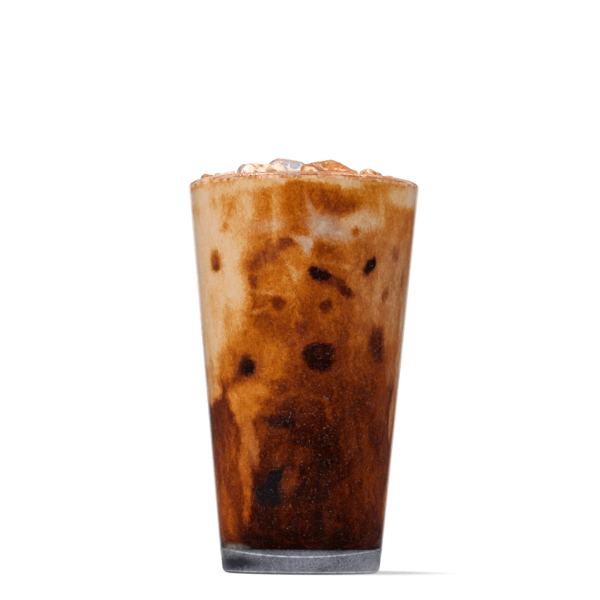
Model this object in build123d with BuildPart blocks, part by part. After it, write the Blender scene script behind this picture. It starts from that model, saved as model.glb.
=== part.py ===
"""Iced coffee in a tapered bar glass.

The glass stands on the ring round the hollow of its underside, with its axis on Z and the
table at z = 0. Its contents are the coffee, up to its level, and the melting ice cubes that
break the surface and heap up over the rim. Each cube sits in its own pocket of the coffee.

All lengths are in millimetres and all angles in degrees.
"""

from build123d import *

import os
from math import cos, radians, sin

# ---- the glass ----
glass_height = 149.2
rim_diameter = 89.1  # the rounded rim measures 88.9 over all
heel_diameter = 62.1  # where the straight wall ends and the heavy foot begins
heel_height = 9.3
base_diameter = 59.4  # the foot's diameter if its lower edge were sharp
base_rounding = 2.4
seat_inner_diameter = 44.0  # inside of the ring that the glass stands on
underside_hollow = 1.3
rim_wall = 2.8
cavity_wall = 5.0  # wall thickness just above the floor's corner
rim_rounding = 1.15
floor_thickness = 8.3  # at the axis
floor_rise = 4.6  # how far the floor climbs from the axis to its corner
floor_corner_rounding = 9.0

# ---- the coffee ----
level_below_rim = 3.5
fill_gap = 0.05  # between the coffee and the glass

# ---- the ice ----
cube_draft = 4.0
dish_radius = 15.0  # the melted hollow in a cube's top
dish_share = 0.11  # its depth, as a share of the cube's height

# The heap is laid out for a round space of this radius, and grows or shrinks with the glass's.
heap_radius = 41.36

# Each cube: width, depth and height; rounding; place; its turn about X, Y and Z.
# A place is a bearing, from 0 at the front through 90 at the right, then how far the cube's centre
# is from the glass's axis, and how far it is above the coffee's level.
ice_cubes = {
    "ice_front_left": ((19.0, 16.0, 17.0), 4.4, (-36.0, 26.6, 0.9), (4, -3, 14)),
    "ice_middle": ((17.5, 16.0, 20.0), 6.6, (-94.2, 6.8, 4.1), (-6, 4, 24)),
    "ice_front_right": ((18.2, 16.6, 15.0), 2.2, (23.6, 22.3, 1.0), (27, 8, 45)),
    "ice_left": ((14.0, 17.0, 17.0), 3.6, (-88.2, 25.4, -0.9), (4, -7, 8)),
    "ice_right": ((16.0, 18.0, 17.0), 4.2, (79.7, 30.1, -2.3), (-5, 9, -22)),
    "ice_chip_edge": ((5.8, 8.0, 8.5), 1.9, (-86.2, 37.5, 3.2), (-8, 10, 12)),
    "ice_chip_left": ((7.6, 7.4, 10.0), 2.1, (-56.5, 35.5, 1.6), (8, -9, 24)),
    "ice_chip_right": ((8.2, 7.2, 10.5), 2.0, (46.2, 34.4, 1.6), (-14, 8, 38)),
    "ice_centre_right": ((17.0, 17.0, 18.0), 4.6, (109.8, 13.0, 0.5), (10, -8, -12)),
    "ice_back_left": ((18.0, 17.0, 16.0), 3.8, (-130.3, 29.4, -0.8), (-11, -7, 52)),
    "ice_back": ((18.0, 15.0, 18.0), 5.0, (-176.4, 25.7, 0.7), (-9, 5, -10)),
    "ice_back_right": ((18.0, 16.0, 16.0), 4.0, (141.6, 30.5, -1.4), (-8, 12, 34)),
}

# ---- sizes that follow from those above ----
rim_radius = rim_diameter / 2
heel_radius = heel_diameter / 2
base_radius = base_diameter / 2
level_height = glass_height - level_below_rim
inner_rim_radius = rim_radius - rim_wall
floor_corner_height = floor_thickness + floor_rise
wall_slope = (rim_radius - heel_radius) / (glass_height - heel_height)
floor_corner_radius = heel_radius + wall_slope * (floor_corner_height - heel_height) - cavity_wall
inside_slope = (inner_rim_radius - floor_corner_radius) / (glass_height - floor_corner_height)
level_radius = inner_rim_radius - inside_slope * level_below_rim
heap_spread = level_radius / heap_radius


def cavity(gap):
    """The inside of the glass as a solid, up to the rim, held clear of the glass by gap."""
    with BuildPart() as inside:
        with BuildSketch(Plane.XZ) as profile:
            with BuildLine():
                wall = Line(
                    (floor_corner_radius - gap, floor_corner_height),
                    (inner_rim_radius - gap, glass_height),
                )
                rim = Line(wall @ 1, (0, glass_height))
                axis = Line(rim @ 1, (0, floor_thickness + gap))
                RadiusArc(axis @ 1, wall @ 0, -floor_bowl_radius(gap))
            make_face()
            corner = profile.vertices().sort_by_distance(tuple(wall @ 0))[0]
            fillet(corner, floor_corner_rounding - gap)
        revolve(axis=Axis.Z)
    return inside.part


def floor_bowl_radius(gap):
    """The radius of the bowl that the floor is part of."""
    half_width = floor_corner_radius - gap
    rise = floor_rise - gap
    return (half_width**2 + rise**2) / (2 * rise)


def ice_cube(size, rounding, place, turn):
    """A melting cube: narrower at its foot, rounded all over, with a shallow dish in its top."""
    width, depth, height = (heap_spread * side for side in size)
    bearing, reach, rise = place
    centre = (
        heap_spread * reach * sin(radians(bearing)),
        -heap_spread * reach * cos(radians(bearing)),
        level_height + heap_spread * rise,
    )
    spot = Plane(Location(centre, turn))
    dish = dish_share * height
    with BuildPart() as cube:
        with BuildSketch(spot.offset(height / 2)):
            Rectangle(width, depth)
        extrude(amount=-height, taper=cube_draft)
        fillet(cube.edges(), heap_spread * rounding)
        with Locations(spot.offset(height / 2 + dish_radius - dish)):
            Sphere(dish_radius, mode=Mode.SUBTRACT)
    return cube.part


# ---- glass ----
with BuildPart() as glass:
    with BuildSketch(Plane.XZ) as outline:
        with BuildLine():
            seat_radius = seat_inner_diameter / 2
            hollow = ThreePointArc(
                (-seat_radius, 0), (0, underside_hollow), (seat_radius, 0), mode=Mode.PRIVATE
            )
            half_hollow = hollow.trim(0.5, 1.0)
            add(half_hollow)
            Polyline(
                (seat_radius, 0),
                (base_radius, 0),
                (heel_radius, heel_height),
                (rim_radius, glass_height),
                (0, glass_height),
                (0, underside_hollow),
            )
        make_face()
        foot = outline.vertices().sort_by_distance((base_radius, 0, 0))[0]
        fillet(foot, base_rounding)
    revolve(axis=Axis.Z)
    add(cavity(0), mode=Mode.SUBTRACT)
    rim_edges = glass.edges().filter_by(GeomType.CIRCLE).group_by(Axis.Z)[-1]
    fillet(rim_edges, rim_rounding)
glass.part.label = "glass"

# ---- ice ----
cubes = {name: ice_cube(*facts) for name, facts in ice_cubes.items()}
for name, cube in cubes.items():
    cube.label = name

# ---- coffee ----
with BuildPart() as coffee:
    add(cavity(fill_gap))
    split(bisect_by=Plane.XY.offset(level_height), keep=Keep.BOTTOM)
    for cube in cubes.values():
        add(cube, mode=Mode.SUBTRACT)
coffee.part.label = "coffee"

os.makedirs("parts", exist_ok=True)
export_step(glass.part, "parts/glass.step")
export_step(coffee.part, "parts/coffee.step")
for name, cube in cubes.items():
    export_step(cube, f"parts/{name}.step")
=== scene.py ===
import math
import random

import bpy
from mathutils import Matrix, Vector
from mathutils.bvhtree import BVHTree


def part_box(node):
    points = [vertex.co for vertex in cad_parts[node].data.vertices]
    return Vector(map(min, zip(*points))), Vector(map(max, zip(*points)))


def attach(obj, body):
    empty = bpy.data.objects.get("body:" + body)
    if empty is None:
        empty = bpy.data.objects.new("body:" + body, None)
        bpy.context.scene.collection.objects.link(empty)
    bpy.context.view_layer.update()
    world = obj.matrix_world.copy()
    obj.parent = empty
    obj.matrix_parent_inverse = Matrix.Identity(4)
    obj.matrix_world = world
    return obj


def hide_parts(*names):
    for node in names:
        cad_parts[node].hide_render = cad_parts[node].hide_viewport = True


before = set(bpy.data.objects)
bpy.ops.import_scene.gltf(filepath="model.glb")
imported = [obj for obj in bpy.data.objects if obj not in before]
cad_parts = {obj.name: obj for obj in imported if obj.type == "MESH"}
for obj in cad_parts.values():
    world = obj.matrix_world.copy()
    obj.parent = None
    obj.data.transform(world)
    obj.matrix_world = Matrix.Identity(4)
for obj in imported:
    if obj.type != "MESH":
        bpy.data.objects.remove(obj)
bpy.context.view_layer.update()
bpy.context.scene.view_settings.view_transform = "Standard"
bpy.context.scene.cycles.transparent_max_bounces = 32

mm = 0.001
nearly = 0.01 * mm  # places closer than this count as one
front = -1.0  # the front of the glass looks towards -Y
print("frame loaded:", ", ".join(sorted(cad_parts)))

# the sizes that several pieces share, from the frame's boxes
glassLow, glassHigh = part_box("glass")
glassHeight = glassHigh.z
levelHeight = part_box("coffee")[1].z
rimRadius = (glassHigh.x - glassLow.x) / 2 + 0.1 * mm  # at the outline's corner, before its rounding
wall = {
    "heel radius": 31.05 * mm,
    "heel height": 9.3 * mm,
    "rim wall": 2.8 * mm,
    "low wall": 5.0 * mm,
}
wall["slope"] = (rimRadius - wall["heel radius"]) / (glassHeight - wall["heel height"])
floorCorner = {"height": 12.9 * mm, "rise": 4.6 * mm, "rounding": 9.0 * mm}
floorCorner["radius"] = (
    wall["heel radius"] + wall["slope"] * (floorCorner["height"] - wall["heel height"]) - wall["low wall"]
)
innerRim = rimRadius - wall["rim wall"]
innerSlope = (innerRim - floorCorner["radius"]) / (glassHeight - floorCorner["height"])


def outerRadius(height):
    return wall["heel radius"] + wall["slope"] * (height - wall["heel height"])


def innerRadius(height):
    return floorCorner["radius"] + innerSlope * (height - floorCorner["height"])


def onWall(bearing, height, radius):  # bearing in degrees: 0 is the front, 90 the right
    turn = math.radians(bearing)
    return Vector((radius * math.sin(turn), front * radius * math.cos(turn), height))


# small helpers


def deselectAll():
    if bpy.context.object is not None and bpy.context.object.mode != "OBJECT":
        bpy.ops.object.mode_set(mode="OBJECT")
    bpy.ops.object.select_all(action="DESELECT")


def pick(piece):
    deselectAll()
    piece.select_set(True)
    bpy.context.view_layer.objects.active = piece


def applyModifier(piece, kind, **settings):
    pick(piece)
    modifier = piece.modifiers.new(kind.title(), kind)
    for key, value in settings.items():
        setattr(modifier, key, value)
    bpy.ops.object.modifier_apply(modifier=modifier.name)


def smoothShade(piece, angle):  # edges sharper than this angle stay sharp
    pick(piece)
    bpy.ops.object.shade_smooth_by_angle(angle=math.radians(angle))


def cornerArc(before, corner, after, radius, steps):  # rounds one corner of an outline
    corner = Vector(corner)
    toBefore, toAfter = (Vector(before) - corner).normalized(), (Vector(after) - corner).normalized()
    half = toBefore.angle(toAfter) / 2
    middle = corner + (toBefore + toAfter).normalized() * radius / math.sin(half)
    first = corner + toBefore * radius / math.tan(half) - middle
    last = corner + toAfter * radius / math.tan(half) - middle
    start, end = math.atan2(first.y, first.x), math.atan2(last.y, last.x)
    while end - start > math.pi:
        end -= 2 * math.pi
    while start - end > math.pi:
        end += 2 * math.pi
    turns = [start + (end - start) * i / steps for i in range(steps + 1)]
    return [(middle.x + radius * math.cos(t), middle.y + radius * math.sin(t)) for t in turns]


def faceOutwards(piece):
    pick(piece)
    bpy.ops.object.mode_set(mode="EDIT")
    bpy.ops.mesh.select_all(action="SELECT")
    bpy.ops.mesh.normals_make_consistent(inside=False)
    bpy.ops.object.mode_set(mode="OBJECT")


def meshPiece(name, verts, faces):  # a piece from its corners and faces
    mesh = bpy.data.meshes.new(name)
    mesh.from_pydata(verts, [], faces)
    piece = bpy.data.objects.new(name, mesh)
    bpy.context.scene.collection.objects.link(piece)
    faceOutwards(piece)
    return piece


def turnedShape(name, profile, segments):  # a ring, extruded along the profile, with its poles closed
    deselectAll()
    radius, height = profile[0]
    bpy.ops.mesh.primitive_circle_add(vertices=segments, radius=radius, location=(0, 0, height))
    piece = bpy.context.object
    piece.name = name
    bpy.ops.object.transform_apply(location=True)
    bpy.ops.object.mode_set(mode="EDIT")
    bpy.ops.mesh.select_mode(type="VERT")
    bpy.ops.mesh.select_all(action="SELECT")
    bpy.ops.mesh.extrude_region_move()
    bpy.ops.mesh.merge(type="CENTER")  # the first pole, in the ring's plane
    piece.data.update()
    bpy.ops.object.mode_set(mode="OBJECT")
    for vert in piece.data.vertices:
        vert.select = vert.co.xy.length > radius / 2
    bpy.ops.object.mode_set(mode="EDIT")
    for nextRadius, nextHeight in profile[1:]:
        scale = nextRadius / radius
        bpy.ops.mesh.extrude_region_move(TRANSFORM_OT_translate={"value": (0, 0, nextHeight - height)})
        bpy.ops.transform.resize(value=(scale, scale, 1), center_override=(0, 0, nextHeight))
        radius, height = nextRadius, nextHeight
    bpy.ops.mesh.extrude_region_move()
    bpy.ops.mesh.merge(type="CENTER")
    faceOutwards(piece)
    return piece


def finishPiece(piece, slot, materials, *nodes):
    for material in materials:
        piece.data.materials.append(material)
    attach(piece, "root")
    if nodes:
        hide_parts(*nodes)


def newMaterial(name):
    material = bpy.data.materials.new(name)
    material.use_nodes = True
    material.node_tree.nodes.clear()
    return material, material.node_tree


def addNode(tree, kind, inputs=None, **settings):
    node = tree.nodes.new(kind)
    for key, value in settings.items():
        setattr(node, key, value)
    for key, value in (inputs or {}).items():
        if isinstance(value, bpy.types.NodeSocket):
            tree.links.new(value, node.inputs[key])
        else:
            node.inputs[key].default_value = value
    return node


def srgb(red, green, blue):  # a colour from 0 to 255, as the linear one that Blender takes
    def linear(value):
        value /= 255
        return value / 12.92 if value <= 0.04045 else ((value + 0.055) / 1.055) ** 2.4

    return (linear(red), linear(green), linear(blue), 1.0)


def colourRamp(tree, factor, stops):  # each stop: its place, then red, green and blue
    ramp = addNode(tree, "ShaderNodeValToRGB", {"Fac": factor})
    elements = ramp.color_ramp.elements
    while len(elements) < len(stops):
        elements.new(1.0)
    for element, (position, *colour) in zip(elements, stops):
        element.position = position
        element.color = srgb(*colour)
    return ramp.outputs["Color"]


def mathNode(tree, operation, first, second=0.0, clamp=False):
    inputs = {0: first, 1: second}
    return addNode(tree, "ShaderNodeMath", inputs, operation=operation, use_clamp=clamp).outputs[0]


def vectorNode(tree, operation, inputs, output="Vector"):
    return addNode(tree, "ShaderNodeVectorMath", inputs, operation=operation).outputs[output]


def noiseNode(tree, vector, scale, detail, roughness, distortion=0.0, output="Fac"):
    inputs = {"Vector": vector, "Scale": scale, "Detail": detail, "Roughness": roughness}
    inputs["Distortion"] = distortion
    return addNode(tree, "ShaderNodeTexNoise", inputs).outputs[output]


def rangeNode(tree, value, fromMin, fromMax, toMin=0.0, toMax=1.0, smooth=True):
    inputs = {"Value": value, "From Min": fromMin, "From Max": fromMax, "To Min": toMin, "To Max": toMax}
    interpolation = "SMOOTHSTEP" if smooth else "LINEAR"
    return addNode(tree, "ShaderNodeMapRange", inputs, interpolation_type=interpolation).outputs[0]


def millimetres(tree):  # Object coordinates, counted in millimetres
    coords = addNode(tree, "ShaderNodeTexCoord").outputs["Object"]
    return vectorNode(tree, "SCALE", {0: coords, "Scale": 1 / mm})


def heightNode(tree, place):
    return addNode(tree, "ShaderNodeSeparateXYZ", {0: place}).outputs["Z"]


def bumpNode(tree, height, strength, depth):
    inputs = {"Height": height, "Strength": strength, "Distance": depth * mm}
    return addNode(tree, "ShaderNodeBump", inputs).outputs["Normal"]


def mixColours(tree, share, first, second):
    inputs = {"Factor": share, 6: first, 7: second}
    return addNode(tree, "ShaderNodeMix", inputs, data_type="RGBA").outputs[2]


def facingNode(tree):  # 0 seen straight on, 1 seen edge-on
    return addNode(tree, "ShaderNodeLayerWeight", {"Blend": 0.5}).outputs["Facing"]


def principled(tree, inputs):
    return addNode(tree, "ShaderNodeBsdfPrincipled", inputs).outputs[0]


def clearToLamps(tree, shader):  # lamps and bounced light reach what is behind glass, water and ice
    path = addNode(tree, "ShaderNodeLightPath")
    through = addNode(tree, "ShaderNodeBsdfTransparent")
    for ray in ("Is Shadow Ray", "Is Diffuse Ray"):
        inputs = {"Fac": path.outputs[ray], 1: shader, 2: through.outputs[0]}
        shader = addNode(tree, "ShaderNodeMixShader", inputs).outputs[0]
    addNode(tree, "ShaderNodeOutputMaterial", {"Surface": shader})


# glass
glassFacts = {
    "segments": 160,
    "seat radius": 22.0 * mm,
    "hollow": 1.3 * mm,
    "foot radius": 29.7 * mm,
    "foot rounding": 2.4 * mm,
    "rim rounding": 1.15 * mm,
    "floor": 8.3 * mm,
    "rim tint": srgb(244, 244, 246),
    "wall": {
        "colour": srgb(222, 208, 198),
        "gloss": (0.06, 0.06, 0.06, 1.0),
        "specks": (1.9, 0.34, 0.6),  # scale, largest size and share
        "speck strength": 0.16,
        "mist": (0.0, 0.003),
        "edge mist": 0.02,
        "frost grain": (1.4, 2.0, 0.7),
        # bearing and height, half width and half height, strength
        "frost": ((-56, 9.8, 8.0, 1.5, 0.7), (-84, 12, 8.0, 3.2, 0.4), (84, 11.5, 7.0, 3.0, 0.4)),
        "frost colour": srgb(150, 132, 128),
    },
    "foot": {
        "clear": 0.12,
        "radius": 30.0,
        "frost ends": (8.2, 9.6),  # the height where the frost thins out
        # greys that paint the shade seen through the glass
        "stops": [(0.32, 72, 73, 84), (0.50, 106, 107, 118), (0.66, 138, 139, 150)],
        "grain": (1.9, 2.0, 0.8),
        # a darker patch of painted shade: bearing, height, half width and half height, then its colour
        "dark patch": (-52, 4.2, 14.0, 3.2),
        "dark": srgb(38, 36, 45),
        "bowl line": (6.7, 0.45),  # height and width of the painted highlight where the bowl catches the light
        "bowl climbs": 2.6,
        # height and width of the painted highlight along the edge, then the colour of both painted
        # highlights
        "edge line": (1.0, 0.3),
        "line": srgb(214, 218, 230),
    },
}


def bowlRings(edgeRadius, low, high, steps):  # a shallow bowl from near the axis out to its edge
    rings = [edgeRadius * (i + 0.5) / steps for i in range(steps)]
    return [(ring, low + (high - low) * (ring / edgeRadius) ** 2) for ring in rings]


def speckNodes(tree, place, scale, largest, share):  # scattered round specks
    cells = addNode(tree, "ShaderNodeTexVoronoi", {"Vector": place, "Scale": scale})
    chance = addNode(tree, "ShaderNodeSeparateColor", {0: cells.outputs["Color"]}).outputs[0]
    size = rangeNode(tree, chance, 1 - share, 1, 0.001, largest, smooth=False)
    return rangeNode(tree, cells.outputs["Distance"], size, 0.0)


patchDepth = 14  # how deep a patch reaches into its piece, in millimetres


def patchMask(tree, place, bearing, height, wide, tall, softness, radius, tilt=0, strength=1.0):
    inputs = {
        "Vector": place,
        "Location": onWall(bearing, height, radius),
        "Rotation": (0, -math.radians(tilt), math.radians(bearing)),
        "Scale": (wide, max(wide, patchDepth), tall),
    }
    local = addNode(tree, "ShaderNodeMapping", inputs, vector_type="TEXTURE").outputs[0]
    length = vectorNode(tree, "LENGTH", {0: local}, "Value")
    return rangeNode(tree, length, 1 + softness / 2, 1 - softness, 0.0, strength)


def shakenPlace(tree, place, noise, reach):  # the same place, shaken about by a noise, for ragged edges
    offset = vectorNode(tree, "SUBTRACT", {0: noise, 1: (0.5, 0.5, 0.5)})
    offset = vectorNode(tree, "SCALE", {0: offset, "Scale": reach})
    return vectorNode(tree, "ADD", {0: place, 1: offset})


def wallMaterial():  # the wall, misted over with dew too fine to model
    facts = glassFacts["wall"]
    material, tree = newMaterial("mistedGlass")
    place = millimetres(tree)
    specks = speckNodes(tree, place, *facts["specks"])
    mist = rangeNode(tree, noiseNode(tree, place, 0.05, 3.0, 0.6), 0.35, 0.65, *facts["mist"])
    edge = mathNode(tree, "POWER", facingNode(tree), 9.0)
    edge = mathNode(tree, "MULTIPLY", edge, facts["edge mist"])
    cover = mathNode(tree, "MULTIPLY", specks, facts["speck strength"])
    cover = mathNode(tree, "ADD", mathNode(tree, "ADD", cover, mist), edge, clamp=True)
    near = shakenPlace(tree, place, noiseNode(tree, place, 0.7, 4.0, 0.65, output="Color"), 2.6)
    grain = rangeNode(tree, noiseNode(tree, place, *facts["frost grain"]), 0.4, 0.6, 0.35, 1.0)
    frost = 0.0
    for bearing, height, wide, tall, strength in facts["frost"]:
        radius = outerRadius(height * mm) / mm
        patch = patchMask(tree, near, bearing, height, wide, tall, 0.8, radius, strength=strength)
        frost = mathNode(tree, "MAXIMUM", patch, frost)
    frost = mathNode(tree, "MULTIPLY", frost, grain)
    cover = mathNode(tree, "MAXIMUM", cover, frost)
    frosted = mathNode(tree, "GREATER_THAN", frost, 0.08)
    inputs = {
        "Base Color": mixColours(tree, frosted, facts["colour"], facts["frost colour"]),
        "Roughness": 0.04,
        "IOR": 1.5,
        "Specular Tint": facts["gloss"],
        "Transmission Weight": mathNode(tree, "SUBTRACT", 1.0, cover),
        "Normal": bumpNode(tree, specks, 0.25, 0.1),
    }
    clearToLamps(tree, principled(tree, inputs))
    return material


def rimMaterial():
    material, tree = newMaterial("clearGlass")
    inputs = {"Roughness": 0.02, "IOR": 1.5, "Transmission Weight": 1.0}
    clearToLamps(tree, principled(tree, {"Base Color": glassFacts["rim tint"], **inputs}))
    return material


def footMaterial():  # grey as painted shade seen through the glass, with fine dew and a darker patch of painted shade, and painted highlights: light lines where its bowl and edge catch the light
    facts = glassFacts["foot"]
    material, tree = newMaterial("frostedFoot")
    place = millimetres(tree)
    parts = addNode(tree, "ShaderNodeSeparateXYZ", {0: place})
    grain = noiseNode(tree, place, *facts["grain"])
    patches = noiseNode(tree, place, 0.12, 2.0, 0.5)
    tone = mathNode(tree, "ADD", grain, rangeNode(tree, patches, 0.35, 0.65, -0.05, 0.05))
    colour = colourRamp(tree, tone, facts["stops"])
    # the darker patch of painted shade
    bearing, height, wide, tall = facts["dark patch"]
    near = shakenPlace(tree, place, noiseNode(tree, place, 0.5, 4.0, 0.65, output="Color"), 4.0)
    dark = patchMask(tree, near, bearing, height, wide, tall, 0.7, facts["radius"])
    colour = mixColours(tree, dark, colour, facts["dark"])
    # painted highlights: thin light lines where the bowl and the edge catch the light
    across = mathNode(tree, "DIVIDE", parts.outputs["X"], facts["radius"])
    across = mathNode(tree, "POWER", across, 2.0)
    bowl = mathNode(tree, "MULTIPLY", across, facts["bowl climbs"])
    bowl = mathNode(tree, "ADD", bowl, facts["bowl line"][0])
    highlightLines = []
    for level, wide in ((bowl, facts["bowl line"][1]), facts["edge line"]):
        gap = mathNode(tree, "ABSOLUTE", mathNode(tree, "SUBTRACT", parts.outputs["Z"], level))
        highlightLines.append(rangeNode(tree, gap, 0.0, wide, 0.8, 0.0))
    paintedHighlight = mathNode(tree, "MULTIPLY", highlightLines[0], rangeNode(tree, across, 0.0, 0.9, 1.0, 0.35))
    paintedHighlight = mathNode(tree, "MAXIMUM", paintedHighlight, highlightLines[1])
    broken = rangeNode(tree, noiseNode(tree, place, 0.5, 2.0, 0.6), 0.35, 0.6, 0.35, 1.0)
    paintedHighlight = mathNode(tree, "MULTIPLY", paintedHighlight, broken)
    colour = mixColours(tree, paintedHighlight, colour, facts["line"])
    ragged = mathNode(tree, "ADD", parts.outputs["Z"], rangeNode(tree, grain, 0.3, 0.7, -0.8, 0.8))
    clear = rangeNode(tree, ragged, *facts["frost ends"], facts["clear"], 0.95)
    inputs = {
        "Base Color": colour,
        "Roughness": 0.2,
        "IOR": 1.5,
        "Transmission Weight": mathNode(tree, "MULTIPLY", clear, mathNode(tree, "SUBTRACT", 1.0, paintedHighlight)),
        "Normal": bumpNode(tree, grain, 0.2, 0.1),
    }
    clearToLamps(tree, principled(tree, inputs))
    return material


def makeGlass():
    facts = glassFacts
    seat = (facts["seat radius"], 0.0)
    foot = (facts["foot radius"], 0.0)
    heel = (wall["heel radius"], wall["heel height"])
    rim = (rimRadius, glassHeight)
    inside = (innerRim, glassHeight)
    corner = (floorCorner["radius"], floorCorner["height"])
    floor = (floorCorner["radius"] / 2, facts["floor"] + floorCorner["rise"] * 0.25)
    underside = [(r, facts["hollow"] - z) for r, z in bowlRings(seat[0], 0, facts["hollow"], 7)]
    profile = underside + [seat]
    profile += cornerArc(seat, foot, heel, facts["foot rounding"], 8)
    profile += [heel]
    profile += cornerArc(heel, rim, inside, facts["rim rounding"], 7)
    profile += cornerArc(rim, inside, corner, facts["rim rounding"], 7)
    profile += cornerArc(inside, corner, floor, floorCorner["rounding"], 12)
    bowlEdge = profile[-1][0]
    bowlTop = facts["floor"] + floorCorner["rise"] * (bowlEdge / floorCorner["radius"]) ** 2
    profile += list(reversed(bowlRings(bowlEdge, facts["floor"], bowlTop, 8)))
    glass = turnedShape("glassBody", profile, facts["segments"])
    smoothShade(glass, 30)
    finishPiece(glass, "glass", (wallMaterial(), rimMaterial(), footMaterial()), "glass")
    for face in glass.data.polygons:
        outside = face.center.x * face.normal.x + face.center.y * face.normal.y > 0
        if face.center.z > levelHeight or (not outside and face.center.z > heel[1]):
            face.material_index = 1
        elif face.center.z < heel[1] and outside:
            face.material_index = 2


makeGlass()
print("glass turned")

# ice that breaks the surface
iceFacts = {
    "voxel": 0.5 * mm,
    "big melt": (6.0 * mm, 1.1 * mm),  # size and depth of the hollows that melting leaves
    "small melt": (1.7 * mm, 0.4 * mm),
    "clear": 0.45,
    "film": (0.22, 5.0, 0.62, 1.2),
    "looks": {  # from the coffee that clings to it to the bare ice; the palest stops are also painted highlights
        "milky": [(0.30, 136, 70, 24), (0.39, 188, 122, 64), (0.47, 216, 178, 140), (0.55, 244, 236, 230)],
        "blue": [(0.30, 170, 136, 116), (0.41, 206, 200, 202), (0.50, 154, 168, 188), (0.58, 232, 234, 240)],
        "amber": [(0.32, 104, 46, 8), (0.43, 182, 106, 34), (0.55, 214, 154, 80), (0.63, 248, 234, 214)],
    },
    "milky": ("ice_front_left", "ice_chip_left", "ice_chip_edge", "ice_back_left", "ice_back"),
    "blue": ("ice_middle", "ice_back_right"),
    "outline": srgb(132, 70, 24),  # coffee that clings to it, seen edge-on, with painted dark reflection at its edges
    "bare top": {"height": (156.6, 158.6), "colour": srgb(206, 160, 128)},
}


def reliefTexture(name, size):
    texture = bpy.data.textures.new(name, "CLOUDS")
    texture.noise_scale = size
    return texture


def iceMaterial(look):
    material, tree = newMaterial(look + "Ice")
    place = millimetres(tree)
    film = noiseNode(tree, place, *iceFacts["film"])
    colour = colourRamp(tree, film, iceFacts["looks"][look])
    if look == "blue":
        top = iceFacts["bare top"]
        bare = rangeNode(tree, heightNode(tree, place), *top["height"], 0.0, 0.85)
        colour = mixColours(tree, bare, colour, top["colour"])
    # browner when seen edge-on: clinging coffee and painted dark reflection at the edges
    edge = rangeNode(tree, facingNode(tree), 0.5, 0.9, 0.0, 0.85)
    cracks = mathNode(tree, "MULTIPLY", noiseNode(tree, place, 0.5, 3.0, 0.6, 1.2), 2.0)
    relief = mathNode(tree, "ADD", cracks, noiseNode(tree, place, 1.6, 4.0, 0.7, 0.4))
    inputs = {
        "Base Color": mixColours(tree, edge, colour, iceFacts["outline"]),
        "Roughness": 0.06,
        "IOR": 1.31,
        "Transmission Weight": iceFacts["clear"],
        "Normal": bumpNode(tree, relief, 0.5, 0.5),
    }
    clearToLamps(tree, principled(tree, inputs))
    return material


def meltedCube(node, material):  # the CAD cube's own shape, copied, remeshed and melted
    pick(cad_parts[node])
    bpy.ops.object.duplicate()
    cube = bpy.context.object
    for key in list(cube.keys()):
        del cube[key]
    cube.parent = None
    words = node.split("_")
    cube.name = words[0] + "".join(word.title() for word in words[1:])
    bpy.ops.object.mode_set(mode="EDIT")
    bpy.ops.mesh.select_all(action="SELECT")
    bpy.ops.mesh.remove_doubles(threshold=nearly)
    bpy.ops.object.mode_set(mode="OBJECT")
    applyModifier(cube, "REMESH", mode="VOXEL", voxel_size=iceFacts["voxel"])
    for label in ("big melt", "small melt"):
        size, depth = iceFacts[label]
        texture = reliefTexture(cube.name + label.title().replace(" ", ""), size)
        applyModifier(cube, "DISPLACE", texture=texture, strength=depth, mid_level=0.55)
        applyModifier(cube, "SMOOTH", factor=0.5, iterations=2)
    cube.data.materials.clear()
    pick(cube)
    bpy.ops.object.shade_smooth()
    finishPiece(cube, "ice", [material], node)
    return cube


iceMaterials = {look: iceMaterial(look) for look in iceFacts["looks"]}
cubes = []
for node in sorted(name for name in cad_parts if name.startswith("ice_")):
    look = next((look for look in ("milky", "blue") if node in iceFacts[look]), "amber")
    cubes.append(meltedCube(node, iceMaterials[look]))
print("melted", len(cubes), "ice cubes")

# coffee
coffeeFacts = {
    "segments": 160,
    "into the wall": 0.15 * mm,
    "top rings": 46,
    "meniscus": 1.1 * mm,  # how high it climbs at the wall and round the ice
    "meniscus width": 1.3 * mm,
    "ripple": 0.15 * mm,
    "ripple waves": (900, 700),  # radians a metre, across and along
    "froth": srgb(222, 186, 150),
    "froth specks": (1.0, 0.28, 0.4),
    "froth share": 0.42,
    "ground": (8, 140, 0.04, 0.62),  # from this height to that one, this milky to that milky
    # noise's scale, detail, roughness and distortion, and how far it shakes the strokes' edges
    "ragged": ((0.085, 3.0, 0.55, 0.3, 5.0), (0.42, 4.0, 0.6, 0.5, 3.0), (1.3, 3.0, 0.6, 0.4, 1.4)),
    "push": (10, 0.2),  # after so many strokes, the milk so far pushes what comes next this much
    "halo": {"wider": 2.0, "softness": 1.1, "milkier": 0.22, "share": 0.4},  # a faint, wider painted shade round sunk ice
    "hanging": {"Location": (63.7, 41.3, 17.9), "Scale": (1, 1, 0.45)},  # drawn out downwards
    # noise, and the most milk that it adds or takes
    "swirls": (((0.15, 4.0, 0.55, 0.8), 0.08), ((0.8, 5.0, 0.65, 0.8), 0.04)),
    # noise, half width, and the milk added in the middle and away from it
    "veins": (((0.11, 5.0, 0.6, 2.2), 0.03, 0.09, 0.0), ((0.2, 6.0, 0.62, 2.6), 0.02, 0.07, -0.01)),
    "grain": (1.35, 2.0, 0.8),
    "surface": [(0.30, 120, 58, 18), (0.45, 176, 104, 44), (0.56, 208, 146, 84), (0.70, 226, 184, 134)],
}

# how milky the coffee is, from black coffee to cream, as it shows through the glass
milkStops = [
    (0.00, 26, 6, 3),
    (0.08, 40, 7, 2),
    (0.18, 72, 19, 3),
    (0.28, 98, 34, 6),
    (0.38, 130, 50, 7),
    (0.48, 160, 72, 6),
    (0.58, 190, 97, 8),
    (0.68, 208, 126, 32),
    (0.78, 219, 153, 74),
    (0.88, 229, 184, 126),
    (1.00, 230, 200, 168),
]
coolStops = [
    (0.00, 20, 16, 18),
    (0.20, 84, 50, 38),
    (0.40, 125, 82, 58),
    (0.60, 160, 112, 82),
    (0.80, 192, 160, 138),
    (1.00, 216, 198, 188),
]

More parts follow.
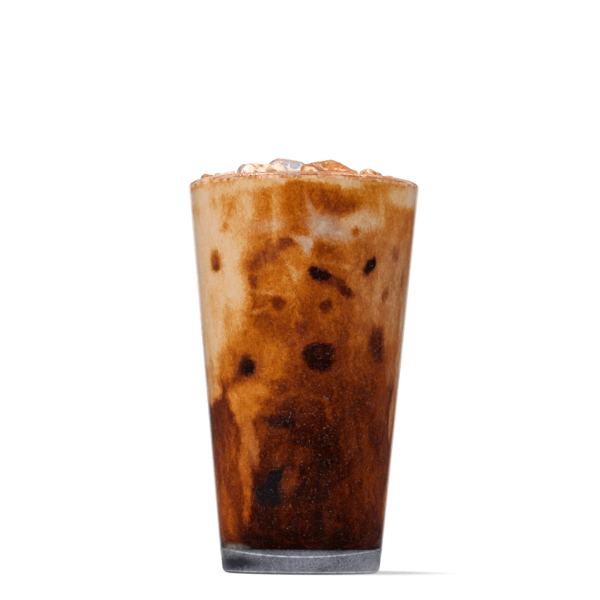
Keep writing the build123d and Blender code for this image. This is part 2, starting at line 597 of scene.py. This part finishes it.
# strokes of milk and coffee, painted in this order: bearing and height of the middle, half width
# and half height, tilt, softness of the edge, how milky, how cool, strength
strokes = [
    # the milky left side, down to its ragged end
    (-60, 118, 17, 35, 0, 0.5, 0.96, 0.05, 1.0),
    (-40, 112, 6, 22, 0, 0.6, 0.93, 0, 0.8),
    (-36, 133, 9, 14, 0, 0.7, 0.86, 0.04, 0.95),
    (-48, 143.8, 20, 2.8, 0, 0.8, 0.95, 0.1, 0.8),
    (-30, 144.8, 12, 2.2, 0, 0.7, 0.95, 0.05, 0.8),
    (-66, 141.5, 10, 3.0, 0, 0.8, 1.0, 0.1, 0.8),
    (-80, 116, 6, 24, 0, 0.6, 1.05, 0.15, 0.9),
    (-78, 80, 4, 14, 0, 0.6, 0.90, 0.3, 0.9),
    (-67, 91, 11, 20, 0, 0.4, 0.91, 0.05, 0.95),
    (-72, 73, 4.2, 9, 4, 0.25, 0.74, 0.2, 0.95),
    (-43, 92, 6, 9, 0, 0.8, 0.76, 0, 0.8),
    # the warm middle and the tan haze on the right
    (-12, 136, 6.0, 12, 0, 0.7, 0.71, 0, 0.9),
    (-4, 132, 6, 15, 0, 0.7, 0.55, 0, 0.9),
    (-10, 108, 11, 12, 0, 0.8, 0.63, 0, 0.8),
    (52, 108, 17, 26, 0, 0.8, 0.66, 0.4, 0.9),
    (66, 108, 9, 24, 0, 0.7, 0.70, 0.55, 0.85),
    (14, 97, 11, 12, 0, 0.9, 0.42, 0, 0.85),
    (81, 92, 5, 34, -2, 0.6, 0.78, 0.55, 0.95),
    (66, 80, 4, 9, 0, 0.9, 0.56, 0.35, 0.8),
    (71, 76, 6, 6, 0, 0.5, 0.60, 0.55, 0.85),
    (-22, 82, 13, 10, 0, 0.8, 0.60, 0, 0.85),
    (33, 76, 13, 8, 0, 0.9, 0.35, 0.05, 0.85),
    # the dark lower half
    (22, 60, 20, 13, 0, 0.7, 0.20, 0, 0.95),
    (48, 45, 10, 32, 0, 0.7, 0.25, 0, 0.95),
    (70, 42, 7, 34, 0, 0.7, 0.25, 0.05, 0.95),
    (86, 40, 3.5, 36, 0, 0.7, 0.60, 0.3, 0.9),
    (77, 60, 3.0, 10, 2, 0.4, 0.66, 0.5, 0.9),
    (62, 62, 4, 8, 0, 0.8, 0.42, 0.2, 0.6),
    (-64, 42, 9, 22, 0, 0.5, 0.33, 0, 0.95),
    (-84, 28, 5, 22, 0, 0.8, 0.56, 0.2, 0.95),
    (10, 40, 15, 21, 0, 0.8, 0.10, 0, 0.95),
    (0, 17, 32, 10, 0, 0.8, 0.08, 0, 0.95),
    (-66, 22, 7, 14, 0, 0.8, 0.46, 0, 0.85),
    (2, 13.5, 20, 4, 0, 0.6, 0, 0.0, 0.9),
    # the top: a saturated arc, red-brown under it, cream lines by the rim
    (-6, 139.5, 5, 6, 0, 0.8, 0.56, 0, 0.85),
    (6, 143.5, 16, 2.6, 3, 0.8, 0.57, 0, 0.9),
    (-76, 143, 12, 3.6, 0, 0.7, 0.96, 0.2, 0.95),
    (74, 143, 12, 4.2, 0, 0.7, 1.0, 0.15, 0.95),
    (-18, 129.5, 8, 3.2, 6, 0.8, 0.84, 0.35, 0.8),
    (22, 145.4, 9, 1.8, -3, 0.8, 0.9, 0.05, 0.9),
    (13, 139.5, 12, 4.4, -4, 0.6, 0.46, 0, 0.95),
    (21, 136.4, 7, 4.2, -8, 0.6, 0.41, 0, 0.9),
    (40, 138, 6, 6, 0, 0.8, 0.66, 0, 0.9),
    (45, 135.5, 1.6, 6, 6, 0.9, 0.80, 0, 0.85),
    (62, 142.5, 11, 4.5, 0, 0.7, 0.92, 0.1, 0.95),
    (62, 131, 8, 8, 0, 0.8, 0.64, 0.15, 0.8),
    (-42, 137.5, 3.2, 4.5, 0, 0.9, 0.74, 0, 0.8),
    (-53, 139.5, 2.6, 3.2, 0, 0.9, 0.76, 0, 0.6),
    (-46, 129.5, 2.6, 2.0, 20, 0.9, 0.66, 0, 0.8),
    (0, 146.4, 34, 1.3, 0, 0.6, 0.88, 0.05, 0.9),
    # the cream cloud, with its point, a wisp over it and the eddy
    (0, 123.8, 2.6, 1.8, 0, 0.6, 0.84, 0.5, 0.8),
    (5, 135.5, 1.3, 5.5, 14, 0.8, 0.74, 0.6, 0.9),
    (11, 129.5, 8.5, 5.6, -4, 0.6, 0.77, 0.9, 0.95),
    (33, 131, 9, 5.2, 4, 0.6, 0.88, 0.4, 0.95),
    (22, 126, 8, 3.4, 0, 0.7, 0.78, 0.7, 0.9),
    (10, 129, 3.4, 2.2, 24, 0.8, 0.95, 1.0, 0.75),
    (17, 127, 4.0, 1.2, -12, 0.8, 0.92, 1.0, 0.6),
    (-2, 124.6, 4.2, 1.6, -26, 0.5, 0.83, 0.85, 0.95),
    (3, 121.8, 2.4, 3.8, -12, 0.5, 0.80, 0.85, 0.95),
    (30, 127.2, 2.4, 2.4, 0, 0.8, 0.46, 0, 0.95),
    (-3, 128.5, 4, 3.4, 0, 0.8, 0.54, 0, 0.9),
    (13, 120.5, 5, 2.4, 0, 0.8, 0.42, 0, 0.9),
    # thin milk in the warm middle
    (-6, 112.6, 1.1, 4.2, 24, 0.9, 0.74, 0.2, 0.85),
    (-2, 111.0, 0.9, 4.0, -28, 0.9, 0.72, 0.2, 0.75),
    (14, 116.2, 9, 1.0, -5, 0.9, 0.62, 0.15, 0.8),
    (26, 113.6, 6, 1.0, -16, 0.9, 0.64, 0.2, 0.7),
    (-18, 104.6, 8, 1.1, -10, 0.9, 0.74, 0.2, 0.75),
    (-22, 124.4, 6, 1.0, 28, 0.9, 0.82, 0.1, 0.6),
    (-26, 98, 5, 0.9, 24, 0.9, 0.74, 0.1, 0.6),
    (0, 92, 1.0, 7, 10, 0.9, 0.64, 0, 0.7),
    # the amber swirl and the long pale streak
    (-55, 79, 6, 8, 0, 0.6, 0.62, 0, 0.9),
    (-36, 68, 9.5, 5, 4, 0.7, 0.74, 0, 0.9),
    (-22, 74, 9, 3, 10, 0.9, 0.60, 0, 0.7),
    (-46, 63, 4.2, 8, 24, 0.5, 0.69, 0, 0.9),
    (-33, 61.5, 4.5, 4, 0, 0.6, 0.66, 0, 0.85),
    (-79, 69, 4, 6, 0, 0.4, 0.86, 0.3, 0.85),
    (-66, 69, 4, 3.5, 0, 0.5, 0.82, 0, 0.85),
    (-52.5, 48, 2.2, 9, 0, 0.7, 0.48, 0, 0.8),
    (-39, 53, 4.2, 9, 4, 0.6, 0.60, 0.1, 0.95),
    (-41.5, 39, 3.8, 12, 0, 0.6, 0.57, 0.1, 0.95),
    (-33, 47, 2.2, 8, 4, 0.7, 0.58, 0.3, 0.8),
    (-42, 27, 2.6, 9, -6, 0.6, 0.48, 0, 0.9),
    (-51, 33, 1.6, 12, 8, 0.9, 0.40, 0, 0.6),
    (-60, 44, 1.6, 14, 0, 0.9, 0.40, 0, 0.6),
    # the arch over the lower middle, streaks and filaments
    (-10, 66.5, 6, 1.6, 20, 0.8, 0.42, 0, 0.8),
    (8, 66, 6, 1.3, -20, 0.8, 0.32, 0, 0.7),
    (17, 60, 1.2, 6, 10, 0.8, 0.34, 0, 0.7),
    (-26, 55, 2.4, 8, -8, 0.8, 0.42, 0, 0.8),
    (-12, 51, 9, 1.2, 6, 0.8, 0.26, 0, 0.7),
    (-8, 45, 9, 4.5, 0, 0.8, 0.28, 0, 0.8),
    (2, 47, 8, 0.9, -10, 0.9, 0.25, 0, 0.6),
    (-8.5, 34.8, 4.2, 5.0, 0, 0.35, 0.30, 0, 0.95),
    (16, 36, 7.5, 15, 0, 0.8, 0.07, 0, 0.85),
    (6, 29, 1.0, 7, 20, 0.9, 0.18, 0, 0.5),
    (20, 21, 0.9, 5.5, 4, 0.8, 0.22, 0, 0.7),
    (16, 26.5, 4.0, 0.9, 16, 0.8, 0.22, 0, 0.6),
    (28, 19, 3.2, 0.8, -30, 0.9, 0.20, 0, 0.6),
    (4, 13.5, 9, 0.9, 8, 0.9, 0.14, 0, 0.6),
    (60, 34, 1.5, 13, 3, 0.9, 0.32, 0, 0.6),
    (44, 30, 1.6, 9, -6, 0.9, 0.30, 0, 0.6),
    (36, 52, 1.4, 10, 8, 0.9, 0.28, 0, 0.5),
]

# painted shade where ice that is sunk in the coffee lies against the wall
iceShadows = [
    (-53, 117.4, 3.8, 4.8, 8, 0.5, 0.40, 0.2, 0.9),
    (-53, 115.4, 2.3, 2.4, 0, 0.5, 0.26, 0.3, 0.8),
    (-16, 119.4, 10.5, 3.2, 28, 0.45, 0.44, 0.15, 0.95),
    (-7.5, 122.9, 3.8, 2.6, 34, 0.5, 0.32, 0.1, 0.85),
    (-24.5, 115.8, 2.6, 2.2, 20, 0.5, 0.42, 0, 0.6),
    (-26, 109.4, 1.7, 3.0, 6, 0.5, 0.30, 0.1, 0.9),
    (-11.5, 100.8, 3.2, 3.0, -30, 0.5, 0.28, 0, 0.9),
    (19, 108.9, 9.0, 2.5, -27, 0.4, 0.26, 0.05, 0.95),
    (12, 111.7, 4.2, 2.4, -14, 0.4, 0.02, 0.1, 0.97),
    (28.5, 104.9, 2.9, 1.9, -30, 0.5, 0.10, 0.05, 0.85),
    (42, 115.0, 2.6, 4.2, -38, 0.45, 0.02, 0.3, 0.97),
    (62, 121.6, 3.2, 3.0, 0, 0.7, 0.38, 0.6, 0.6),
    (16, 99.8, 2.2, 3.2, -20, 0.5, 0.22, 0, 0.85),
    (57, 104.6, 2.0, 3.0, 0, 0.7, 0.34, 0.5, 0.6),
    (74, 112, 1.6, 6.5, 0, 0.7, 0.36, 0.5, 0.6),
    (-34, 77.2, 4.0, 4.2, 0, 0.5, 0.02, 0.3, 0.97),
    (11.5, 80.4, 6.0, 5.6, -20, 0.35, 0.02, 0, 0.97),
    (17, 84.0, 2.6, 2.4, -40, 0.5, 0.08, 0, 0.9),
    (52.5, 86, 4.4, 7.2, 0, 0.7, 0.11, 0.1, 0.95),
    (-31, 88, 6.0, 4.0, 10, 0.8, 0.48, 0, 0.6),
    (0, 86.5, 4.6, 3.4, 0, 0.7, 0.38, 0, 0.7),
    (0.5, 91, 3.4, 3.4, 0, 0.6, 0.30, 0, 0.8),
    (-12.5, 57.2, 6.6, 2.6, 2, 0.45, 0.02, 0.2, 0.9),
    (-7, 60.8, 5.0, 2.4, -10, 0.5, 0.15, 0.1, 0.8),
    (-23.5, 29.2, 4.0, 3.6, 0, 0.7, -0.25, 1.0, 1.0),
    (-20.6, 34.2, 1.9, 6.6, -32, 0.6, -0.25, 1.0, 1.0),
]


backFacts = {"seed": 5, "strokes": 34, "blots": 16}


def backStrokes():  # the same kinds of stroke, and blots of painted shade where sunk ice lies, scattered over the back half
    rng = random.Random(backFacts["seed"])
    broad, blots = [], []
    for _ in range(backFacts["strokes"]):
        bearing, height = rng.uniform(104, 256), rng.uniform(18, 140)
        milk = min(max(0.12 + 0.72 * height / 145 + rng.uniform(-0.2, 0.2), 0.05), 0.95)
        wide = rng.uniform(5, 15)
        tall, tilt, cool = wide * rng.uniform(0.4, 1.4), rng.uniform(-40, 40), rng.uniform(0, 0.5)
        broad.append((bearing, height, wide, tall, tilt, 0.5, milk, cool, 0.75))
    for _ in range(backFacts["blots"]):
        bearing, height = rng.uniform(100, 260), rng.uniform(24, 132)
        wide, tall, tilt = rng.uniform(1.8, 6), rng.uniform(2, 5), rng.uniform(-40, 40)
        milk, cool = rng.uniform(0.04, 0.25), rng.uniform(0, 0.4)
        blots.append((bearing, height, wide, tall, tilt, 0.7, milk, cool, 0.85))
    return broad, blots


backBroad, backBlots = backStrokes()


def haloRound(stroke):  # a faint, wider painted shade round a blot of sunk ice
    bearing, height, wide, tall, tilt, _, milk, cool, strength = stroke
    halo = coffeeFacts["halo"]
    wide, tall, milk = wide + halo["wider"], tall + halo["wider"], milk + halo["milkier"]
    return (bearing, height, wide, tall, tilt, halo["softness"], milk, cool, strength * halo["share"])


def paintStroke(tree, place, below, stroke):  # one soft, tilted ellipse on the wall, over those before
    bearing, height, wide, tall, tilt, softness, milk, cool, strength = stroke
    radius = innerRadius(height * mm) / mm
    mask = patchMask(tree, place, bearing, height, wide, tall, softness, radius, tilt, strength)
    inputs = {"Factor": mask, 4: below, 5: (milk, cool, 0)}
    return addNode(tree, "ShaderNodeMix", inputs, data_type="VECTOR").outputs[1]


def coffeeMaterial():
    facts = coffeeFacts
    material, tree = newMaterial("marbledCoffee")
    bare = place = millimetres(tree)
    for *noise, reach in facts["ragged"]:
        place = shakenPlace(tree, place, noiseNode(tree, bare, *noise, output="Color"), reach)
    ground = rangeNode(tree, heightNode(tree, place), *facts["ground"], smooth=False)
    marble = addNode(tree, "ShaderNodeCombineXYZ", {0: ground}).outputs[0]
    halos = [haloRound(stroke) for stroke in iceShadows]
    every, push = facts["push"]
    for i, stroke in enumerate(strokes + backBroad + backBlots + halos + iceShadows, 1):
        if i % every == 0:
            pushed = vectorNode(tree, "SCALE", {0: marble, "Scale": push})
            place = vectorNode(tree, "ADD", {0: place, 1: pushed})
        marble = paintStroke(tree, place, marble, stroke)
    parts = addNode(tree, "ShaderNodeSeparateXYZ", {0: marble})
    milk = parts.outputs["X"]
    hanging = addNode(tree, "ShaderNodeMapping", {"Vector": place, **facts["hanging"]}).outputs[0]
    for noise, most in facts["swirls"]:
        swirl = rangeNode(tree, noiseNode(tree, hanging, *noise), 0.25, 0.75, -most, most)
        milk = mathNode(tree, "ADD", milk, swirl)
    for noise, wide, middle, away in facts["veins"]:
        vein = mathNode(tree, "SUBTRACT", noiseNode(tree, hanging, *noise), 0.5)
        vein = rangeNode(tree, mathNode(tree, "ABSOLUTE", vein), 0.0, wide, middle, away)
        milk = mathNode(tree, "ADD", milk, vein)
    grain = rangeNode(tree, noiseNode(tree, bare, *facts["grain"]), 0.3, 0.7, -0.055, 0.055)
    milk = mathNode(tree, "ADD", milk, grain)
    warm, cool = colourRamp(tree, milk, milkStops), colourRamp(tree, milk, coolStops)
    colour = mixColours(tree, parts.outputs["Y"], warm, cool)
    froth = speckNodes(tree, bare, *facts["froth specks"])  # single fine bubbles against the wall
    froth = mathNode(tree, "MULTIPLY", froth, facts["froth share"])
    colour = mixColours(tree, froth, colour, facts["froth"])
    shader = principled(tree, {"Base Color": colour, "Roughness": 0.5, "Specular IOR Level": 0.0})
    addNode(tree, "ShaderNodeOutputMaterial", {"Surface": shader})
    return material


def surfaceMaterial():
    material, tree = newMaterial("coffeeSurface")
    place = millimetres(tree)
    cream = noiseNode(tree, place, 0.13, 6.0, 0.6, 1.6)
    froth = addNode(tree, "ShaderNodeTexVoronoi", {"Vector": place, "Scale": 1.1}).outputs["Distance"]
    inputs = {
        "Base Color": colourRamp(tree, cream, coffeeFacts["surface"]),
        "Roughness": 0.22,
        "IOR": 1.34,
        "Normal": bumpNode(tree, froth, 0.25, 0.3),
    }
    addNode(tree, "ShaderNodeOutputMaterial", {"Surface": principled(tree, inputs)})
    return material


def treeOf(pieces):  # one search tree over several pieces, to find how near the ice is
    verts, faces = [], []
    for piece in pieces:
        start = len(verts)
        verts += [v.co.copy() for v in piece.data.vertices]
        faces += [[start + i for i in p.vertices] for p in piece.data.polygons]
    return BVHTree.FromPolygons(verts, faces)


def makeCoffee():
    facts = coffeeFacts
    into = facts["into the wall"]
    inside = (innerRadius(levelHeight) + into, levelHeight)
    corner = (floorCorner["radius"] + into, floorCorner["height"])
    floor = (floorCorner["radius"] / 2, glassFacts["floor"] + floorCorner["rise"] * 0.25 - into)
    arc = cornerArc(floor, corner, inside, floorCorner["rounding"] + into, 12)
    bowlEdge = arc[0][0]
    bowlTop = glassFacts["floor"] - into + floorCorner["rise"] * (bowlEdge / corner[0]) ** 2
    profile = bowlRings(bowlEdge, glassFacts["floor"] - into, bowlTop, 6) + arc + [inside]
    rings = facts["top rings"]
    profile += [(inside[0] * (1 - i / rings), levelHeight) for i in range(1, rings)]
    coffee = turnedShape("coffeeBody", profile, facts["segments"])
    ice = treeOf(cubes)
    waveX, waveY = facts["ripple waves"]
    for vert in coffee.data.vertices:
        reach = vert.co.xy.length
        if vert.co.z < levelHeight - nearly:
            continue
        _, _, _, gap = ice.find_nearest(vert.co)
        toWall = inside[0] - reach
        climb = math.exp(-gap / facts["meniscus width"]) + math.exp(-toWall / facts["meniscus width"])
        wave = math.sin(vert.co.x * waveX) * math.sin(vert.co.y * waveY + 1)
        wave *= 1 - math.exp(-toWall / (3 * mm))  # it dies away at the wall
        vert.co.z += facts["meniscus"] * min(climb, 1.1) + facts["ripple"] * wave
        if toWall < nearly:  # the edge stays in the wall, which leans out
            scale = (innerRadius(vert.co.z) + into) / reach
            vert.co.x *= scale
            vert.co.y *= scale
    finishPiece(coffee, "coffee", (coffeeMaterial(), surfaceMaterial()), "coffee")
    for face in coffee.data.polygons:
        if face.center.z > levelHeight - facts["meniscus"] and face.normal.z > 0.2:
            face.material_index = 1
    smoothShade(coffee, 50)
    return coffee


coffeeBody = makeCoffee()
print("coffee poured")

# sunk ice
sunkFacts = {
    "size": 17.0 * mm,
    "rounding": 4.5 * mm,
    "melt": (6 * mm, 1.2 * mm),  # size and depth of its hollows
    "below level": 2 * mm,
    "proud": 0.12 * mm,  # how far it stands into the wall, past the coffee
    "seed": 3,
}


def sunkCube(rng, bearing, height, reach):  # a cube leaning on the wall with one corner, edge or side
    deselectAll()
    bpy.ops.mesh.primitive_cube_add(size=sunkFacts["size"])
    cube = bpy.context.object
    applyModifier(cube, "BEVEL", width=sunkFacts["rounding"], segments=4)
    applyModifier(cube, "SUBSURF", levels=1, render_levels=1)
    size, depth = sunkFacts["melt"]
    texture = reliefTexture("sunkMelt", size)
    applyModifier(cube, "DISPLACE", texture=texture, strength=depth, mid_level=0.5)
    pick(cube)
    cube.rotation_euler = [rng.uniform(0, math.pi / 2) for _ in range(3)]
    bpy.ops.object.transform_apply(rotation=True)
    out = onWall(bearing, 0, 1.0)
    furthest = max(vert.co.dot(out) for vert in cube.data.vertices)
    cube.location = onWall(bearing, height, reach - furthest)
    bpy.ops.object.transform_apply(location=True)
    return cube


def makeSunkIce():
    rng = random.Random(sunkFacts["seed"])
    pieces = []
    for bearing, height, wide, tall, *_ in iceShadows + backBlots:
        height *= mm
        span = min(wide, tall) * mm  # how much of the cube touches the wall
        sag = span**2 / (2 * sunkFacts["size"])
        pieces.append(sunkCube(rng, bearing, height, innerRadius(height) + sag))
    deselectAll()
    for piece in pieces:
        piece.select_set(True)
    bpy.context.view_layer.objects.active = pieces[0]
    bpy.ops.object.join()
    ice = bpy.context.object
    ice.name = "sunkIce"
    for vert in ice.data.vertices:  # what would stick out through the wall is melted back to it
        vert.co.z = min(max(vert.co.z, floorCorner["height"]), levelHeight - sunkFacts["below level"])
        most = innerRadius(vert.co.z) + coffeeFacts["into the wall"] + sunkFacts["proud"]
        reach = vert.co.xy.length
        if reach > most:
            vert.co.x *= most / reach
            vert.co.y *= most / reach
    pick(ice)
    bpy.ops.object.shade_smooth()
    finishPiece(ice, "ice", [bpy.data.materials["marbledCoffee"]])


makeSunkIce()
print("ice sunk in the coffee")

# the film that the coffee leaves on the wall above its level
filmFacts = {
    "segments": 300,
    "rings": 8,
    "highest": 3.3 * mm,
    "lowest": 2.0 * mm,
    "starts": 0.4 * mm,  # below the level
    "below rim": 1.3 * mm,
    "waves": ((5, 1.0, 1.0), (13, 2.1, 0.8), (31, 0.0, 0.6)),  # count, turn and share of its upper edge
    "thick": 0.12 * mm,
    "into the glass": 0.02 * mm,
    "streaks": [(0.32, 156, 82, 26), (0.42, 212, 146, 80), (0.53, 232, 184, 130), (0.64, 244, 222, 196)],
}


def filmMaterial():
    material, tree = newMaterial("creamyFilm")
    place = millimetres(tree)
    streaks = noiseNode(tree, place, 0.35, 5.0, 0.65, 1.2)
    inputs = {
        "Base Color": colourRamp(tree, streaks, filmFacts["streaks"]),
        "Roughness": 0.3,
        "IOR": 1.34,
        "Transmission Weight": rangeNode(tree, noiseNode(tree, place, 0.6, 3.0, 0.6), 0.48, 0.70, 0.0, 0.5),
    }
    clearToLamps(tree, principled(tree, inputs))
    return material


def makeFilm():
    facts = filmFacts
    steps = facts["segments"]
    low = levelHeight - facts["starts"]
    whole = sum(share for _, _, share in facts["waves"])
    verts, count = [], 2 * (facts["rings"] + 1)
    climbs = [k / facts["rings"] for k in range(facts["rings"] + 1)]
    # up the face on the glass, then down the one towards the axis
    order = [(-facts["into the glass"], k) for k in climbs] + [(facts["thick"], k) for k in reversed(climbs)]
    for side, climb in order:
        for i in range(steps):
            turn = 2 * math.pi * i / steps
            wave = sum(share * math.sin(times * turn + start) for times, start, share in facts["waves"])
            share = 0.5 + 0.5 * wave / whole
            top = levelHeight + facts["lowest"] + (facts["highest"] - facts["lowest"]) * share
            height = low + (min(top, glassHeight - facts["below rim"]) - low) * climb
            verts.append(onWall(360 * i / steps, height, innerRadius(height) - side * (1 - 0.7 * climb)))
    faces = []
    for k in range(count):
        for i in range(steps):
            a, b = k * steps + i, k * steps + (i + 1) % steps
            c = (k + 1) % count * steps
            faces.append((a, b, c + (i + 1) % steps, c + i))
    film = meshPiece("wallFilm", verts, faces)
    smoothShade(film, 50)
    finishPiece(film, "coffee", [filmMaterial()])


makeFilm()
print("film left on the wall")

# foam: single bubbles on the coffee, crowded along the glass and round the ice
foamFacts = {
    "tries": 5200,
    "radius": (0.22 * mm, 0.75 * mm),
    "crowding": 2.2 * mm,
    "flat": 0.8,  # a bubble's height as a share of its width
    "seed": 21,
    "tones": [(0.35, 196, 132, 76), (0.50, 222, 172, 124), (0.65, 238, 210, 180)],
}


def foamMaterial():
    material, tree = newMaterial("coffeeFoam")
    place = millimetres(tree)
    colour = colourRamp(tree, noiseNode(tree, place, 0.3, 3.0, 0.6), foamFacts["tones"])
    inputs = {"Base Color": colour, "Roughness": 0.12, "IOR": 1.2, "Transmission Weight": 0.35}
    clearToLamps(tree, principled(tree, inputs))
    return material


def scatterShapes(name, level, places):  # copies of one small ball, each with its place and three axes
    deselectAll()
    bpy.ops.mesh.primitive_ico_sphere_add(subdivisions=level, radius=1.0)
    ball = bpy.context.object
    shape = [v.co.copy() for v in ball.data.vertices]
    faces = [list(p.vertices) for p in ball.data.polygons]
    verts, polys = [], []
    for centre, along, out, up in places:
        start = len(verts)
        verts += [centre + co.x * along + co.y * out + co.z * up for co in shape]
        polys += [[start + i for i in face] for face in faces]
    bpy.data.objects.remove(ball)
    piece = meshPiece(name, verts, polys)
    bpy.ops.object.shade_smooth()
    return piece


def makeFoam(coffee):
    facts = foamFacts
    rng = random.Random(facts["seed"])
    ice, surface = treeOf(cubes), treeOf([coffee])
    places = []
    edge = innerRadius(levelHeight)
    for _ in range(facts["tries"]):
        radius = rng.triangular(*facts["radius"], facts["radius"][0])
        reach = (edge - radius) * math.sqrt(rng.random())
        spot = onWall(rng.uniform(0, 360), levelHeight + 3 * mm, reach)
        hit = surface.ray_cast(spot, Vector((0, 0, -1)))[0]
        if hit is None:
            continue
        gap = min(ice.find_nearest(hit)[3], edge - reach)
        if gap < radius * 0.7 or rng.random() > math.exp(-gap / facts["crowding"]):
            continue
        centre = hit + Vector((0, 0, 0.3 * radius))
        up = Vector((0, 0, facts["flat"] * radius))
        places.append((centre, Vector((radius, 0, 0)), Vector((0, radius, 0)), up))
    foam = scatterShapes("foamBubbles", 2, places)
    finishPiece(foam, "coffee", [foamMaterial()])
    print("foam:", len(places), "bubbles")


makeFoam(coffeeBody)

# dew
dewFacts = {
    "mist": {"count": 9000, "radius": (0.05 * mm, 0.11 * mm), "detail": 1, "seed": 11},
    "beads": {"count": 1000, "radius": (0.10 * mm, 0.16 * mm), "detail": 2, "seed": 12},
}
dewHeights = {"lowest": 2.5, "below rim": 2.0, "thickest": 70}  # in millimetres


def waterMaterial():
    material, tree = newMaterial("dewWater")
    # the near-white diffuse share is a painted glint, the drops' sparkle
    inputs = {"Roughness": 0.05, "IOR": 1.33, "Transmission Weight": 0.88}
    clearToLamps(tree, principled(tree, {"Base Color": srgb(240, 236, 236), **inputs}))
    return material


def makeDew(name, facts, material):
    rng = random.Random(facts["seed"])
    highest = glassHeight / mm - dewHeights["below rim"]
    places = []
    for _ in range(facts["count"]):
        bearing = rng.uniform(0, 360)
        height = rng.triangular(dewHeights["lowest"], highest, dewHeights["thickest"]) * mm
        radius = rng.uniform(*facts["radius"])
        tall = radius * rng.uniform(0.9, 1.25)
        along, out = onWall(bearing + 90, 0, radius), onWall(bearing, 0, 0.4 * radius)
        places.append((onWall(bearing, height, outerRadius(height)), along, out, Vector((0, 0, tall))))
    finishPiece(scatterShapes(name, facts["detail"], places), "glass", [material])


dewWater = waterMaterial()
for kind, facts in dewFacts.items():
    makeDew("dew" + kind.title(), facts, dewWater)
print("dew settled")

# floor, lights and camera
stageFacts = {
    "floor": {
        "radius": 0.1,
        "grey": (0.62, 0.62, 0.62, 1),
        "lift": 0.03,
        "shadow middle": (0.014, 0.01, 0.0),
        "shadow reach": (0.026, 0.052),
    },
    "backdrop edge": (0.88, 0.97),  # the backdrop spans this cosine of the angle from straight behind
    "room": (0.3, 0.95),  # the light of the room, at the horizon and overhead
    "mirrored": 0.06,  # the room below the horizon, as reflections see it
    "key": {"place": (-0.85, -0.65, 0.8), "size": 0.7, "watts": 14.0},
    "fill": {"place": (0.85, -0.65, 0.95), "size": 0.8, "watts": 10.6},
    "camera distance": 1.025,
    "camera height": 26 * mm,
    "camera side": -1.18 * mm,
    "look up": 4.389,
    "roll": 0.46,
    "focal share": 2668.5 / 600,  # focal length as a share of the picture's width
    "sensor": 36,
}
white = (1, 1, 1, 1)


def seenStraight(tree, path):  # a ray from the eye, straight or through glass
    return mathNode(tree, "MAXIMUM", path.outputs["Is Camera Ray"], path.outputs["Is Transmission Ray"])


def makeFloor():  # round, and white to the eye away from the glass, with the shadow beside it
    facts = stageFacts["floor"]
    deselectAll()
    bpy.ops.mesh.primitive_circle_add(vertices=96, radius=facts["radius"], fill_type="NGON")
    floor = bpy.context.object
    floor.name = "floor"
    material, tree = newMaterial("paleFloor")
    path = addNode(tree, "ShaderNodeLightPath")
    glossy = path.outputs["Is Glossy Ray"]
    seen = mathNode(tree, "MAXIMUM", seenStraight(tree, path), glossy)
    place = addNode(tree, "ShaderNodeTexCoord").outputs["Object"]
    away = vectorNode(tree, "DISTANCE", {0: place, 1: facts["shadow middle"]}, "Value")
    bare = mathNode(tree, "MULTIPLY", seen, rangeNode(tree, away, *facts["shadow reach"]))
    lift = mathNode(tree, "MULTIPLY", seen, facts["lift"])
    matte = addNode(tree, "ShaderNodeBsdfDiffuse", {"Color": facts["grey"]})
    glow = addNode(tree, "ShaderNodeEmission", {"Color": white, "Strength": lift})
    lifted = addNode(tree, "ShaderNodeAddShader", {0: matte.outputs[0], 1: glow.outputs[0]})
    plain = rangeNode(tree, glossy, 0, 1, 1.0, stageFacts["mirrored"], smooth=False)
    plain = addNode(tree, "ShaderNodeEmission", {"Color": white, "Strength": plain})
    mixed = addNode(tree, "ShaderNodeMixShader", {"Fac": bare, 1: lifted.outputs[0], 2: plain.outputs[0]})
    addNode(tree, "ShaderNodeOutputMaterial", {"Surface": mixed.outputs[0]})
    floor.data.materials.append(material)


def makeWorld():  # white to the eye, while reflections see the backdrop and the dim room round it
    facts = stageFacts
    world = bpy.data.worlds.new("studio")
    world.use_nodes = True
    tree = world.node_tree
    tree.nodes.clear()
    path = addNode(tree, "ShaderNodeLightPath")
    glossy = path.outputs["Is Glossy Ray"]
    sky = addNode(tree, "ShaderNodeTexCoord").outputs["Generated"]
    aim = addNode(tree, "ShaderNodeSeparateXYZ", {0: sky})
    backdrop = rangeNode(tree, aim.outputs["Y"], *facts["backdrop edge"])
    mirrored = mathNode(tree, "MULTIPLY", glossy, backdrop)
    seen = mathNode(tree, "MAXIMUM", seenStraight(tree, path), mirrored)
    horizon, overhead = facts["room"]
    lowest = rangeNode(tree, glossy, 0, 1, horizon, facts["mirrored"], smooth=False)
    room = rangeNode(tree, aim.outputs["Z"], 0.0, 0.8, lowest, overhead)
    strength = rangeNode(tree, seen, 0, 1, room, 1.0, smooth=False)
    light = addNode(tree, "ShaderNodeBackground", {"Color": white, "Strength": strength})
    addNode(tree, "ShaderNodeOutputWorld", {"Surface": light.outputs[0]})
    bpy.context.scene.world = world


def makeLamp(name, facts):
    deselectAll()
    bpy.ops.object.light_add(type="AREA", location=facts["place"])
    lamp = bpy.context.object
    lamp.name = name
    lamp.data.size = facts["size"]
    lamp.data.energy = facts["watts"]
    aim = Vector((0, 0, glassHeight / 2)) - Vector(facts["place"])
    lamp.rotation_euler = aim.to_track_quat("-Z", "Y").to_euler()


def makeCamera():
    facts = stageFacts
    deselectAll()
    place = (facts["camera side"], front * facts["camera distance"], facts["camera height"])
    turn = (math.radians(90 + facts["look up"]), 0, 0)
    bpy.ops.object.camera_add(location=place, rotation=turn)
    camera = bpy.context.object
    camera.name = "camera"
    camera.rotation_euler.rotate_axis("Z", math.radians(facts["roll"]))
    camera.data.sensor_width = facts["sensor"]
    camera.data.lens = facts["sensor"] * facts["focal share"]
    bpy.context.scene.camera = camera


makeFloor()
makeWorld()
makeLamp("key", stageFacts["key"])
makeLamp("fill", stageFacts["fill"])
makeCamera()
print("stage set")

deselectAll()
